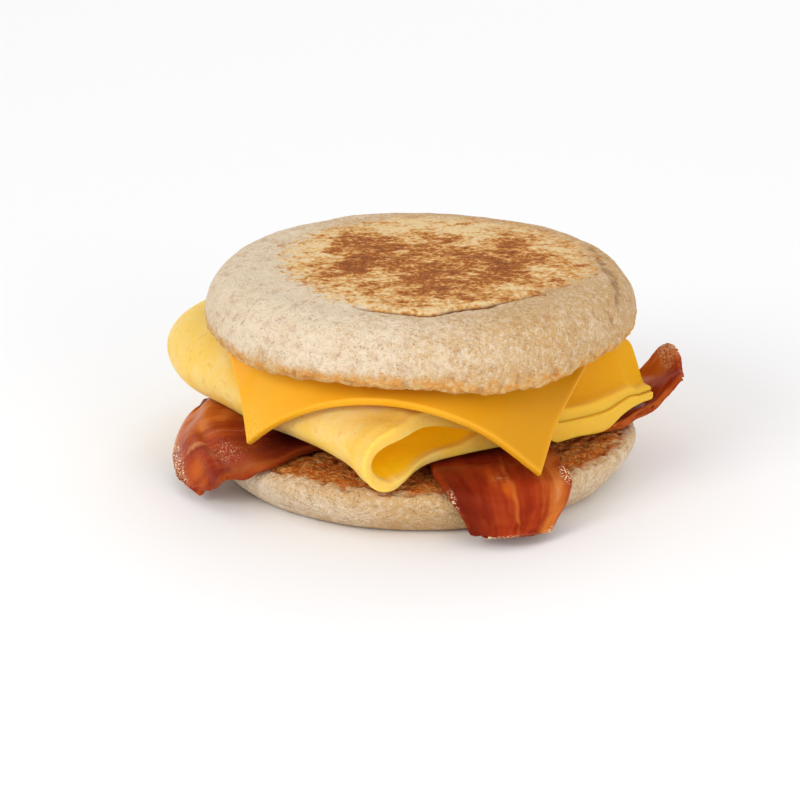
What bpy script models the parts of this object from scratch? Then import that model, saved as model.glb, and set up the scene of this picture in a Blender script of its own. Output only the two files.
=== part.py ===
# A breakfast sandwich on a split English muffin, in metres, +Z up.
# From the bottom: the toasted base half, two crossed strips of bacon, an egg sheet folded once,
# one square slice of cheese with drooping corners, and the crown half with its flat griddled face.
# The origin is the middle of the base's flat underside. The viewer's side is -Y.

import math

import bpy
from mathutils import Vector, noise
from mathutils.geometry import interpolate_bezier

QUARTER = math.radians(90.0)

# Muffin halves, both turned round the Z axis
MUFFIN_RADIUS = 0.0480
BASE_FLAT_RADIUS = 0.0400
BASE_WIDEST_Z = 0.0093
BASE_RIM_RADIUS = 0.0455
BASE_TOP_Z = 0.0109
HEEL_POWER = 1.37
CROWN_CUT_Z = 0.0344
CROWN_RIM_RADIUS = 0.0462
CROWN_WIDEST_Z = 0.0364
CROWN_SHOULDER_RADIUS = 0.0412
CROWN_TOP_Z = 0.0474
CROWN_POWER = 1.3
GRIDDLE_RADIUS = 0.0355
CREASE_DEPTH = 0.0006
CRUMB_RELIEF = 0.00030
WALL_RELIEF = 0.00050
RIM_SAG = 0.0011
RIM_SAG_SPOT = (0.0140, -0.0450)
RIM_SAG_SPREAD = 0.0140
WALL_LUMP = 0.0160
CRUMB_LUMP = 0.0055
TURN_STEPS = 56
ARC_STEPS = 6

# Bacon
BACON_THICK = 0.0021
RUFFLE = 0.0003
RUFFLES_ALONG = 40.0
RUFFLES_ACROSS = 9.0
BACON_STEPS_ALONG = 30
BACON_STEPS_ACROSS = 7

# Folded egg
EGG_BOTTOM_Z = 0.0142
EGG_TOP_Z = 0.0308
EGG_LAYER = 0.0042
EGG_TIP = 0.0030
LOWER_SHARE = 0.6
FOLD_REACH = 0.0085
FOLD_WALL = 0.0024
FOLD_HOLLOW_LENGTH = 0.0290
FOLD_HOLLOW_HALF_HEIGHT = 0.0050
FOLD_HOLLOW_DEPTH = 0.0420
FRONT_FADE = 0.0300
FRONT_SLOPE = 0.0150
UPPER_RECESS = 0.0007
SLIT_HALF = 0.0003
EGG_SECTIONS = 19
NOSE_STEPS = 5
FLAT_STEPS = 10

# Cheese, whose middle lies a little forward of the stack's axis
CHEESE_SIDE = 0.0770
CHEESE_THICK = 0.0024
CHEESE_MIDDLE = (0.0013, -0.0045)
CHEESE_Z = 0.0325
CHEESE_TURN = math.radians(-13.0)
CHEESE_FRONT_RADIUS = 0.0335
CHEESE_BACK_RADIUS = 0.0620
CHEESE_BEND_RADIUS = 0.0080
EDGE_HANG = math.radians(28.0)
LEFT_CORNER_TURN = math.radians(-143.0)
LEFT_CORNER_HANG = math.radians(46.0)
RIGHT_CORNER_TURN = math.radians(-58.0)
RIGHT_CORNER_HANG = math.radians(27.0)
CORNER_SPREAD = 0.36
CHEESE_STEPS = 20


def clear_scene():
    for old in list(bpy.data.objects):
        bpy.data.objects.remove(old)


def collection(name):
    made = bpy.data.collections.new(name)
    bpy.context.scene.collection.children.link(made)
    return made


def material(name, colour, roughness):
    made = bpy.data.materials.new(name)
    made.use_nodes = True
    shader = made.node_tree.nodes["Principled BSDF"]
    shader.inputs["Base Color"].default_value = (*colour, 1.0)
    shader.inputs["Roughness"].default_value = roughness
    shader.inputs["Metallic"].default_value = 0.0
    return made


def ramp(start, end, value):
    """Goes smoothly from 0 at start to 1 at end."""
    share = min(max((value - start) / (end - start), 0.0), 1.0)
    return share * share * (3.0 - 2.0 * share)


def hump(distance, width):
    return math.exp(-0.5 * (distance / width) ** 2)


def grain(point, size, seed):
    """Smooth noise from -1 to 1 whose lumps are about this size."""
    return noise.noise(Vector(point) / size + Vector((seed, 2.7 * seed, -seed)))


def add_mesh(name, points, faces, look, group):
    mesh = bpy.data.meshes.new(name)
    mesh.from_pydata(points, [], faces)
    made = bpy.data.objects.new(name, mesh)
    mesh.materials.append(look)
    group.objects.link(made)
    return made


def smooth(thing):
    thing.data.shade_smooth()


# Muffin halves


def turned(name, profile, look, group):
    """Turns a profile, listed top to bottom down its outer side, round the Z axis."""
    edges = [(i, i + 1) for i in range(len(profile) - 1)]
    guide = bpy.data.objects.new(name + "_profile", bpy.data.meshes.new(name + "_profile"))
    guide.data.from_pydata([(r, 0.0, z) for r, z in profile], edges, [])
    group.objects.link(guide)
    screw = guide.modifiers.new("turn", "SCREW")
    screw.steps = TURN_STEPS
    screw.render_steps = TURN_STEPS
    screw.use_merge_vertices = True
    screw.merge_threshold = 0.00001
    graph = bpy.context.evaluated_depsgraph_get()
    mesh = bpy.data.meshes.new_from_object(guide.evaluated_get(graph))
    bpy.data.objects.remove(guide)
    made = bpy.data.objects.new(name, mesh)
    mesh.name = name
    mesh.materials.append(look)
    group.objects.link(made)
    return made


def base_profile():
    """Cut face, rim, widest line and rounded heel down to the flat underside."""
    points = [(r, BASE_TOP_Z) for r in (0.0, 0.012, 0.024, 0.034, 0.041)]
    points.append((BASE_RIM_RADIUS - 0.0008, BASE_TOP_Z))
    points.append((BASE_RIM_RADIUS + 0.0014, BASE_TOP_Z - 0.0004))
    for step in range(ARC_STEPS + 1):
        angle = QUARTER * (1.0 - step / ARC_STEPS)
        radius = BASE_FLAT_RADIUS + (MUFFIN_RADIUS - BASE_FLAT_RADIUS) * math.sin(angle) ** HEEL_POWER
        height = BASE_WIDEST_Z * (1.0 - math.cos(angle) ** HEEL_POWER)
        points.append((radius, height))
    points.append((0.0, 0.0))
    return points


def crown_profile():
    """Griddled face, crease, shoulder, wall, crumbly rim and the flat cut face underneath."""
    points = [(r, CROWN_TOP_Z + 0.0004) for r in (0.0, 0.013, 0.026)]
    points.append((GRIDDLE_RADIUS - 0.0012, CROWN_TOP_Z + 0.0001))
    points.append((GRIDDLE_RADIUS, CROWN_TOP_Z - CREASE_DEPTH))
    points.append((GRIDDLE_RADIUS + 0.0020, CROWN_TOP_Z))
    rise = CROWN_TOP_Z - CROWN_WIDEST_Z
    for step in range(ARC_STEPS + 1):
        angle = QUARTER * (1.0 - step / ARC_STEPS)
        reach = (MUFFIN_RADIUS - CROWN_SHOULDER_RADIUS) * max(math.cos(angle), 0.0) ** CROWN_POWER
        points.append((CROWN_SHOULDER_RADIUS + reach, CROWN_WIDEST_Z + rise * math.sin(angle) ** CROWN_POWER))
    points.append((CROWN_RIM_RADIUS + 0.0010, CROWN_CUT_Z + 0.0005))
    points += [(r, CROWN_CUT_Z) for r in (CROWN_RIM_RADIUS - 0.0015, 0.030, 0.015, 0.0)]
    return points


def bake_bread(half, seed, cut_z, still_z):
    """Makes the turned bread uneven: a lumpy wall and a craggy cut face. The still level stays flat."""
    for vertex in half.data.vertices:
        x, y, z = vertex.co
        radius = math.hypot(x, y)
        if abs(z - still_z) < 0.00001 or radius < 0.0001:
            continue
        wall = ramp(0.034, 0.044, radius)
        swell = WALL_RELIEF * wall * grain((x, y, 1.5 * z), WALL_LUMP, seed)
        scale = 1.0 + swell / radius
        lift = CRUMB_RELIEF * grain((x, y, z), CRUMB_LUMP, seed + 4.0) if abs(z - cut_z) < 0.0006 else 0.0
        vertex.co = (x * scale, y * scale, z + lift)


def muffin_base(look, group):
    half = turned("muffin_base", base_profile(), look, group)
    bake_bread(half, 1.3, BASE_TOP_Z, 0.0)
    smooth(half)


def muffin_crown(look, group):
    half = turned("muffin_crown", crown_profile(), look, group)
    bake_bread(half, 7.9, CROWN_CUT_Z, -1.0)
    for vertex in half.data.vertices:
        x, y, z = vertex.co
        rim = ramp(CROWN_WIDEST_Z + 0.004, CROWN_CUT_Z, z) * ramp(0.040, 0.045, math.hypot(x, y))
        away = math.hypot(x - RIM_SAG_SPOT[0], y - RIM_SAG_SPOT[1])
        vertex.co.z -= RIM_SAG * rim * hump(away, RIM_SAG_SPREAD)
    smooth(half)


# Bacon: each strip is a ribbon through three edges, in millimetres, from its free end inward.
# LYING is the height of a strip on the base, and OVER is that of the front strip on the long one.

LYING = 12.4
OVER = 15.4
LONG_NEAR = [(-48.6, -22.0, 1.9), (-45.7, -26.2, 6.0), (-41.4, -30.4, 10.1), (-33.0, -32.3, 12.5),
             (-20.0, -21.5, LYING), (10.0, -17.0, LYING), (35.0, -12.0, LYING), (44.3, -9.4, 12.8),
             (51.6, -2.2, 14.8), (58.4, -0.4, 20.6)]
LONG_MIDDLE = [(-53.9, -10.5, 6.8), (-50.6, -11.5, 10.8), (-45.0, -12.0, 12.9), (-34.0, -11.0, 12.6),
               (-14.0, -6.0, LYING), (12.0, -2.0, LYING), (36.0, 3.0, LYING), (46.0, 4.5, 13.2),
               (53.2, 5.5, 17.2), (58.0, 6.0, 23.2)]
LONG_FAR = [(-48.4, 9.0, 12.3), (-46.0, 9.5, LYING), (-42.0, 9.0, LYING), (-32.0, 7.0, LYING),
            (-14.0, 9.0, LYING), (12.0, 13.0, LYING), (36.0, 17.0, LYING), (45.0, 16.5, 13.4),
            (51.2, 14.5, 18.6), (56.1, 12.0, 25.6)]
FRONT_LEFT = [(11.8, -49.8, 2.0), (8.8, -49.9, 6.8), (5.8, -49.0, 11.2), (2.8, -41.0, 12.7),
              (1.6, -32.0, 12.6), (-3.0, -17.0, OVER), (-7.0, 2.0, OVER), (-11.0, 16.0, 15.0)]
FRONT_MIDDLE = [(20.0, -52.2, 1.9), (20.2, -49.2, 5.2), (19.8, -46.9, 10.6), (18.2, -38.5, 12.7),
                (16.2, -29.0, 12.6), (11.5, -13.0, OVER), (6.0, 5.0, OVER), (2.0, 18.5, 14.9)]
FRONT_RIGHT = [(29.0, -45.6, 2.2), (32.4, -41.0, 6.0), (32.3, -37.8, 10.6), (30.0, -31.5, 12.5),
               (28.5, -24.0, 12.8), (25.0, -9.0, OVER), (19.0, 9.0, OVER), (15.5, 20.5, 14.8)]


def along(stations, share):
    """A smooth curve through the stations, for a share of its length from 0 to 1."""
    last = len(stations) - 1
    place = share * last
    first = min(int(place), last - 1)
    t = place - first
    p = [Vector(stations[min(max(first + i, 0), last)]) for i in (-1, 0, 1, 2)]
    bend = (2 * p[0] - 5 * p[1] + 4 * p[2] - p[3]) * t * t + (3 * p[1] - p[0] - 3 * p[2] + p[3]) * t ** 3
    return 0.5 * (2 * p[1] + (p[2] - p[0]) * t + bend)


def ribbon_point(edges, u, v):
    """A point of the ribbon: u along it, v across it from its first edge to its last."""
    near, middle, far = (along(edge, u) for edge in edges)
    weights = ((1 - v) * (1 - 2 * v), 4 * v * (1 - v), v * (2 * v - 1))
    return (near * weights[0] + middle * weights[1] + far * weights[2]) * 0.001


def bacon_strip(name, edges, seed, look, group):
    """A grid laid along the three edges, ruffled where it hangs free, and given its thickness."""
    bpy.ops.mesh.primitive_grid_add(
        x_subdivisions=BACON_STEPS_ALONG, y_subdivisions=BACON_STEPS_ACROSS, size=2.0
    )
    strip = bpy.context.object
    strip.name = name
    strip.data.name = name
    for vertex in strip.data.vertices:
        u = 0.5 * (vertex.co.x + 1.0)
        v = 0.5 * (vertex.co.y + 1.0)
        place = ribbon_point(edges, u, v)
        free = ramp(MUFFIN_RADIUS + 0.001, MUFFIN_RADIUS + 0.006, math.hypot(place.x, place.y))
        place.z += RUFFLE * free * math.sin(RUFFLES_ACROSS * v + RUFFLES_ALONG * u + seed)
        vertex.co = place
    strip.data.materials.append(look)
    thick = strip.modifiers.new("thickness", "SOLIDIFY")
    thick.thickness = BACON_THICK
    thick.offset = 0.0
    smooth(strip)
    move_to(strip, group)


def move_to(thing, group):
    for holder in list(thing.users_collection):
        holder.objects.unlink(thing)
    group.objects.link(thing)


# Egg: one sheet folded over, its open end toward the viewer's right

FOLD_EDGE = [(-0.0125, -0.0505), (-0.0260, -0.0240), (-0.0930, 0.0220), (-0.0340, 0.0450)]
OPEN_EDGE = [(0.0515, -0.0020), (0.0400, 0.0170), (0.0340, 0.0480), (0.0040, 0.0560)]
# The open front end isn't straight: it bows out or in by a size, at a distance from the fold, over a width
FRONT_BOWS = [(0.0022, 0.007, 0.005), (-0.0022, 0.022, 0.008), (0.0050, 0.053, 0.013)]
TOWARD_FRONT = Vector((0.61, -0.79, 0.0))


def edge_points(handles, count):
    corners = [Vector((x, y, 0.0)) for x, y in handles]
    return interpolate_bezier(*corners, count)


def egg_underside(x, y):
    """Height of the egg's underside: over the crossed strips, down over the front rim, up at the right tip,
    and down onto the base behind the bacon."""
    over_crossing = ramp(-0.034, -0.021, y) * ramp(0.031, 0.017, y)
    spine_x = 0.009 - 0.27 * y
    over_crossing *= ramp(0.032, 0.020, abs(x - spine_x))
    sag = 0.0050 * hump(math.hypot(0.75 * (x + 0.010), y + 0.057), 0.0090)
    tip = 0.0024 * ramp(0.040, 0.050, x)
    settled = 0.0024 * ramp(0.023, 0.036, y)
    return EGG_BOTTOM_Z + 0.0030 * over_crossing - sag + tip - settled


def egg_top(x, y, across, back, span):
    """Height of the egg's upper face, which slopes down to the open end, the right edge and the front."""
    front_drop = 0.0045 + 0.0055 * ramp(0.020, 0.060, across)
    front_drop *= 1.0 - ramp(0.0, FRONT_SLOPE, back)
    side_drop = 0.0030 * ramp(0.0080, 0.0, span - across)
    radius = math.hypot(x, y)
    rim_drop = 0.0050 * ramp(0.031, 0.043, radius) * ramp(0.10, 0.50, -y / radius)
    lobe_drop = 0.0014 * ramp(0.044, 0.052, radius) * ramp(-0.030, -0.045, x)
    return EGG_TOP_Z - max(front_drop, rim_drop) - side_drop - lobe_drop


def section_reaches(span):
    """Distances from the fold's outermost line at which a section is read, close together round the fold."""
    turns = [QUARTER * number / NOSE_STEPS for number in range(NOSE_STEPS)]
    nose = [FOLD_REACH * (1.0 - math.cos(turn)) for turn in turns]
    return nose + [FOLD_REACH + (span - FOLD_REACH) * number / FLAT_STEPS for number in range(FLAT_STEPS + 1)]


def egg_section(fold, edge, back):
    """Outer and inner outline of the folded sheet, from its lower edge round the fold to its upper edge."""
    row = edge - fold
    span = row.length
    row = row / span
    fade = 1.0 - ramp(0.0, FRONT_FADE, back)
    lower_outer, upper_outer, lower_inner, upper_inner = [], [], [], []
    for reach in section_reaches(span):
        bow = sum(size * hump(reach - middle, width) for size, middle, width in FRONT_BOWS)
        recess = UPPER_RECESS * ramp(0.014, 0.030, reach)
        spot = fold + row * reach + TOWARD_FRONT * bow * fade
        upper_spot = spot - TOWARD_FRONT * recess * fade
        under = egg_underside(spot.x, spot.y)
        top = max(egg_top(spot.x, spot.y, reach, back, span), under + EGG_TIP)
        rise = math.sqrt(max(0.0, 1.0 - (1.0 - min(reach / FOLD_REACH, 1.0)) ** 2))
        middle = 0.5 * (under + top)
        half = 0.5 * (top - under) * rise
        lower_outer.append((spot.x, spot.y, middle - half))
        upper_outer.append((upper_spot.x, upper_spot.y, middle + half))
        inner = FOLD_WALL + reach * (span - FOLD_WALL) / span
        shift = row * (inner - reach)
        hollow = min(max((inner - FOLD_WALL) / FOLD_HOLLOW_LENGTH, 0.0), 1.0)
        opening = FOLD_HOLLOW_HALF_HEIGHT * (1.0 - ramp(0.0, FOLD_HOLLOW_DEPTH, back))
        opening *= 2.598 * math.sqrt(hollow) * (1.0 - hollow)
        slit = SLIT_HALF * min(1.0, 20.0 * hollow)
        wall = FOLD_WALL * min(1.0, 5.0 * hollow)
        settle = ramp(0.0, 0.024, inner)
        layer = min(EGG_LAYER, LOWER_SHARE * (top - under))
        meeting = middle * (1.0 - settle) + (under + layer) * settle
        below = slit + min(opening, max(meeting - middle + half - wall, 0.0))
        above = slit + min(opening, max(middle + half - meeting - wall, 0.0))
        lower_inner.append((spot.x + shift.x, spot.y + shift.y, meeting - below))
        upper_inner.append((upper_spot.x + shift.x, upper_spot.y + shift.y, meeting + above))
    outer = lower_outer[::-1] + upper_outer[1:]
    inner = lower_inner[::-1] + upper_inner[1:]
    return outer + inner


def folded_egg(look, group):
    """Lofts the sections from the open front end to the back, and joins the outer and inner skins."""
    folds = edge_points(FOLD_EDGE, EGG_SECTIONS)
    edges = edge_points(OPEN_EDGE, EGG_SECTIONS)
    points = []
    back = 0.0
    ring = 2 * (NOSE_STEPS + FLAT_STEPS) + 1
    for number in range(EGG_SECTIONS):
        if number:
            back += (folds[number] - folds[number - 1]).length
        points += egg_section(folds[number], edges[number], back)
    faces = []
    for number in range(EGG_SECTIONS - 1):
        here = 2 * ring * number
        ahead = here + 2 * ring
        for j in range(ring - 1):
            faces.append((here + j, here + j + 1, ahead + j + 1, ahead + j))
            i = j + ring
            faces.append((here + i, ahead + i, ahead + i + 1, here + i + 1))
        faces.append((here, ahead, ahead + ring, here + ring))
        end = ring - 1
        faces.append((here + end, here + end + ring, ahead + end + ring, ahead + end))
    last = 2 * ring * (EGG_SECTIONS - 1)
    for j in range(ring - 1):
        faces.append((j, j + ring, j + 1 + ring, j + 1))
        faces.append((last + j, last + j + 1, last + j + 1 + ring, last + j + ring))
    egg = add_mesh("folded_egg", points, faces, look, group)
    smooth(egg)


# Cheese


def draped(a, b):
    """Where a point of the flat slice ends up once the slice hangs over the edge of the egg."""
    flat = math.hypot(a, b)
    turn = math.atan2(b, a) + CHEESE_TURN
    held = ramp(0.50, 0.00, -math.sin(turn))
    radius = CHEESE_FRONT_RADIUS + (CHEESE_BACK_RADIUS - CHEESE_FRONT_RADIUS) * held
    hang = EDGE_HANG + LEFT_CORNER_HANG * hump(turn - LEFT_CORNER_TURN, CORNER_SPREAD)
    hang += RIGHT_CORNER_HANG * hump(turn - RIGHT_CORNER_TURN, CORNER_SPREAD)
    extra = flat - radius
    out, drop = flat, 0.0
    if extra > 0.0:
        angle = min(extra / CHEESE_BEND_RADIUS, hang)
        straight = extra - angle * CHEESE_BEND_RADIUS
        out = radius + CHEESE_BEND_RADIUS * math.sin(angle) + straight * math.cos(angle)
        drop = CHEESE_BEND_RADIUS * (1.0 - math.cos(angle)) + straight * math.sin(angle)
    return out * math.cos(turn), out * math.sin(turn), CHEESE_Z - drop


def cheese_slice(look, group):
    bpy.ops.mesh.primitive_grid_add(
        x_subdivisions=CHEESE_STEPS, y_subdivisions=CHEESE_STEPS, size=CHEESE_SIDE
    )
    cheese = bpy.context.object
    cheese.name = "cheese_slice"
    cheese.data.name = "cheese_slice"
    for vertex in cheese.data.vertices:
        vertex.co = draped(vertex.co.x + CHEESE_MIDDLE[0], vertex.co.y + CHEESE_MIDDLE[1])
    cheese.data.materials.append(look)
    thick = cheese.modifiers.new("thickness", "SOLIDIFY")
    thick.thickness = CHEESE_THICK
    thick.offset = 0.0
    smooth(cheese)
    move_to(cheese, group)


def build():
    clear_scene()
    group = collection("english_muffin_sandwich")
    bread = material("bread", (0.72, 0.58, 0.38), 0.85)
    bacon = material("bacon", (0.38, 0.08, 0.03), 0.35)
    egg = material("egg", (0.85, 0.60, 0.12), 0.45)
    cheese = material("cheese", (0.82, 0.42, 0.03), 0.35)
    muffin_base(bread, group)
    bacon_strip("bacon_strip_long", (LONG_NEAR, LONG_MIDDLE, LONG_FAR), 0.0, bacon, group)
    bacon_strip("bacon_strip_front", (FRONT_LEFT, FRONT_MIDDLE, FRONT_RIGHT), 2.0, bacon, group)
    folded_egg(egg, group)
    cheese_slice(cheese, group)
    muffin_crown(bread, group)


build()
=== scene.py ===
# %% [markdown]
# # A breakfast sandwich on a split English muffin
# This lesson dresses a plain solid sandwich: two muffin halves, two strips of bacon, a folded egg
# and a square of soft cheese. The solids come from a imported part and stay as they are. Each one
# gets a finely modelled skin and a finish.

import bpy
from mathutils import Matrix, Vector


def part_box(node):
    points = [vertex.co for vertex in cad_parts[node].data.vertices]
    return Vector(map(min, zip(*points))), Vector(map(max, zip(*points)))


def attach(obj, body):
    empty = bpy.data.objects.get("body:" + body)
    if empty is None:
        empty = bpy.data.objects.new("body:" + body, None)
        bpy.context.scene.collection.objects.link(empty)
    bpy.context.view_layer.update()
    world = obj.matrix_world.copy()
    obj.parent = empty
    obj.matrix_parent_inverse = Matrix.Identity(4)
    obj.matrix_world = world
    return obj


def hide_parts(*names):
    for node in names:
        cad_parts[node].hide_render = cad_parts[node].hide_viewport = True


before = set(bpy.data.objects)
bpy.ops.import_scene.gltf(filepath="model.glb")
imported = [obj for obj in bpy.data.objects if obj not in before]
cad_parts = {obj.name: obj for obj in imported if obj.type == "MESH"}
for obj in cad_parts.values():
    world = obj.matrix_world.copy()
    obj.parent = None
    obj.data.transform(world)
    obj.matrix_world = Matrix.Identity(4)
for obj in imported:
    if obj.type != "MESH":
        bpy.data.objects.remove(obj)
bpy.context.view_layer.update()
print("solids", sorted(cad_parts))

# %% [markdown]
# Everything is in metres, with +Z up and the viewer on the -Y side. Lengths are easier to read in
# millimetres, so they are written as 2.4 * MM.

# %% Imports and units
import math

import bpy
from mathutils import Vector, noise

MM = 0.001
QUARTER = math.radians(90.0)


# %% [markdown]
# ## Camera
# The sandwich was seen from the front and a little above with a long lens, which keeps the two
# halves nearly the same width. A 171 mm lens from 85 cm does the same. The camera aims a little
# to the left of the stack and below its middle, so that the object sits where it did in the picture.

# %% Camera
AIM = Vector((0.0, 0.0, 25.0 * MM))
CAMERA_DISTANCE = 0.85
CAMERA_ELEVATION = math.radians(18.83)
CAMERA_LENS = 171.36
AIM_LEFT = 4.62 * MM
AIM_LOW = 9.06 * MM


def facing(place, target):
    """The turn that makes a camera or a lamp at a place look at a target."""
    return (target - place).to_track_quat("-Z", "Y").to_euler()


def photo_camera():
    forward = Vector((0.0, math.cos(CAMERA_ELEVATION), -math.sin(CAMERA_ELEVATION)))
    upward = Vector((0.0, math.sin(CAMERA_ELEVATION), math.cos(CAMERA_ELEVATION)))
    camera = bpy.data.objects.new("photo_camera", bpy.data.cameras.new("photo_camera"))
    camera.data.lens = CAMERA_LENS
    camera.location = AIM - forward * CAMERA_DISTANCE
    aim = AIM - Vector((AIM_LEFT, 0.0, 0.0)) - upward * AIM_LOW
    camera.rotation_euler = facing(camera.location, aim)
    bpy.context.scene.collection.objects.link(camera)
    bpy.context.scene.camera = camera
    return camera


print("camera at", photo_camera().location)


# %% [markdown]
# ## Shader sums in plain Python
# A finish is a network of nodes, and sums are easier to read as Python. `Wire` holds one output
# socket, and adding or multiplying wires adds Math nodes. `Finish` makes the material and its other
# nodes. Colours never go through Math, which would turn them grey.

# %% Wires
class Wire:
    """An output socket of a finish. Sums on it add Math nodes."""

    def __init__(self, finish, socket):
        self.finish = finish
        self.socket = socket

    def __add__(self, other):
        return self.finish.maths("ADD", self, other)

    __radd__ = __add__

    def __sub__(self, other):
        return self.finish.maths("SUBTRACT", self, other)

    def __mul__(self, other):
        return self.finish.maths("MULTIPLY", self, other)

    __rmul__ = __mul__


# %% Finishes
def paint(red, green, blue):
    """A colour given on a 0 to 255 scale, as the linear colour that a shader wants."""
    def linear(level):
        share = level / 255.0
        return share / 12.92 if share <= 0.04045 else ((share + 0.055) / 1.055) ** 2.4
    return (linear(red), linear(green), linear(blue), 1.0)


class Finish:
    """One Principled material and short ways to build its network."""

    def __init__(self, name, **constants):
        self.material = bpy.data.materials.new(name)
        self.material.use_nodes = True
        self.tree = self.material.node_tree
        self.shader = self.tree.nodes["Principled BSDF"]
        self.surface(**constants)
        self.place = self.node("TexCoord", output="Object")

    def node(self, kind, settings=None, inputs=None, output=0):
        """Adds a node with its settings and the values or wires of its inputs."""
        made = self.tree.nodes.new("ShaderNode" + kind)
        for name, value in (settings or {}).items():
            setattr(made, name, value)
        for socket, value in (inputs or {}).items():
            self.feed(made.inputs[socket], value)
        return Wire(self, made.outputs[output])

    def feed(self, socket, value):
        if isinstance(value, Wire):
            self.tree.links.new(value.socket, socket)
        else:
            socket.default_value = value

    def maths(self, operation, first, second):
        return self.node("Math", {"operation": operation}, {0: first, 1: second})

    def ramp(self, start, end, value):
        """Goes smoothly from 0 at start to 1 at end."""
        settings = {"interpolation_type": "SMOOTHSTEP"}
        return self.node("MapRange", settings, {"Value": value, 1: start, 2: end})

    def mix(self, share, first, second):
        """Blends two colours."""
        return self.node("Mix", {"data_type": "RGBA"}, {0: share, 6: first, 7: second}, output=2)

    def layers(self, colour, *coats):
        """Lays coats over a colour, each given as its share and its own colour."""
        for share, coat in coats:
            colour = self.mix(share, colour, coat)
        return colour

    def shift(self, vector, scale, offset):
        """Scales a vector and moves it."""
        inputs = {0: vector, 1: scale, 2: offset}
        return self.node("VectorMath", {"operation": "MULTIPLY_ADD"}, inputs)

    def grain(self, size, seed, detail=2.0, stretch=(1.0, 1.0, 1.0), place=None):
        """Soft noise from 0 to 1 whose lumps are about this size in millimetres."""
        scale = tuple(1.0 / (size * MM * s) for s in stretch)
        moved = self.shift(place or self.place, scale, (seed, 2.7 * seed, -seed))
        return self.node("TexNoise", inputs={"Vector": moved, "Scale": 1.0, "Detail": detail})

    def attribute(self, name, output="Fac"):
        """A value that the mesh carries at each point."""
        return self.node("Attribute", {"attribute_name": name}, output=output)

    def aside(self):
        """How far to the right a point lies, in metres."""
        return self.node("SeparateXYZ", inputs={"Vector": self.place}, output="X")

    def relief(self, *lumps):
        """Fine bumps that lie on each other, each given as its height and its depth in millimetres."""
        normal = None
        for height, depth in lumps:
            inputs = {"Height": height, "Distance": depth * MM}
            if normal:
                inputs["Normal"] = normal
            normal = self.node("Bump", inputs=inputs)
        return normal

    def surface(self, **values):
        """Gives the shader its values and wires."""
        for socket, value in values.items():
            self.feed(self.shader.inputs[socket.replace("_", " ")], value)


# %% [markdown]
# ## Studio
# The picture was made in a white studio: a broad soft light from the upper left, a weaker one that
# fills from the right, an open white room all round, and hardly any shadow. A third light picks out
# the far edges. A pale floor catches what shadow there is. Area lights are used because their size
# sets how soft the shadow's edge is. The Standard view keeps yellows as vivid as they were chosen,
# where a filmic one would make them paler.

# %% Floor, room and lights
FLOOR_SIZE = 6.0
FLOOR_COLOUR = (0.93, 0.93, 0.94, 1.0)
WHITE = (1.0, 1.0, 1.0, 1.0)
LIGHTS = {
    # name: (place, size, watts, colour)
    "key_light": ((-0.6, -0.66, 0.56), 0.4, 3.7, (1.0, 0.98, 0.95)),
    "front_fill": ((0.52, -0.82, 0.26), 0.5, 2.7, (1.0, 0.98, 0.96)),
    "back_light": ((0.25, 0.95, 0.75), 0.6, 1.6, (1.0, 1.0, 1.0)),
}
ROOM_STRENGTH = 0.82


def studio_floor():
    bpy.ops.mesh.primitive_plane_add(size=FLOOR_SIZE)
    floor = bpy.context.object
    floor.name = "studio_floor"
    finish = Finish("floor_finish", Base_Color=FLOOR_COLOUR, Roughness=0.9, Specular_IOR_Level=0.1)
    floor.data.materials.append(finish.material)


def studio_lights():
    for name, (place, size, watts, colour) in LIGHTS.items():
        lamp = bpy.data.lights.new(name, "AREA")
        lamp.size = size
        lamp.energy = watts
        lamp.color = colour
        light = bpy.data.objects.new(name, lamp)
        light.location = place
        light.rotation_euler = facing(light.location, AIM)
        bpy.context.scene.collection.objects.link(light)


def white_room():
    room = bpy.data.worlds.new("white_room")
    room.use_nodes = True
    glow = room.node_tree.nodes["Background"]
    glow.inputs["Strength"].default_value = ROOM_STRENGTH
    glow.inputs["Color"].default_value = WHITE
    bpy.context.scene.world = room


studio_floor()
studio_lights()
white_room()
bpy.context.scene.view_settings.view_transform = "Standard"
print("lights", list(LIGHTS))


# %% [markdown]
# ## Shape tools
# Food is uneven in a smooth way, so its shapes are formulas with soft noise added. `ramp`, `rise`
# and `hump` place an effect, `grain` gives even lumps, and `rough` adds finer lumps on coarse ones.

# %% Ramp, hump and noise
def ramp(start, end, value):
    """Goes smoothly from 0 at start to 1 at end."""
    share = min(max((value - start) / (end - start), 0.0), 1.0)
    return share * share * (3.0 - 2.0 * share)


def rise(start, end, value):
    """The same ramp, with its start and end in millimetres."""
    return ramp(start * MM, end * MM, value)


def hump(distance, width):
    return math.exp(-0.5 * (distance / width) ** 2)


def grain(point, size, seed):
    """Smooth noise from -1 to 1 whose lumps are about this size in millimetres."""
    return noise.noise(Vector(point) / (size * MM) + Vector((seed, 2.7 * seed, -seed)))


def rough(point, size, seed, layers=3):
    """Noise with finer noise on it, about -1 to 1."""
    place = Vector(point) / (size * MM) + Vector((seed, 2.7 * seed, -seed))
    return noise.fractal(place, 1.0, 2.0, layers)


def along(stations, share):
    """A smooth curve through the stations, for a share of its length from 0 to 1."""
    last = len(stations) - 1
    place = share * last
    first = min(int(place), last - 1)
    t = place - first
    p = [Vector(stations[min(max(first + i, 0), last)]) for i in (-1, 0, 1, 2)]
    bend = (2 * p[0] - 5 * p[1] + 4 * p[2] - p[3]) * t * t + (3 * p[1] - p[0] - 3 * p[2] + p[3]) * t ** 3
    return 0.5 * (2 * p[1] + (p[2] - p[0]) * t + bend)


# %% [markdown]
# A skin is one closed mesh. It also carries named values at its points, such as how deep a point
# lies in the crumb, and the finish reads them. Colour then follows the shape, as it does in real food.

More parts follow.
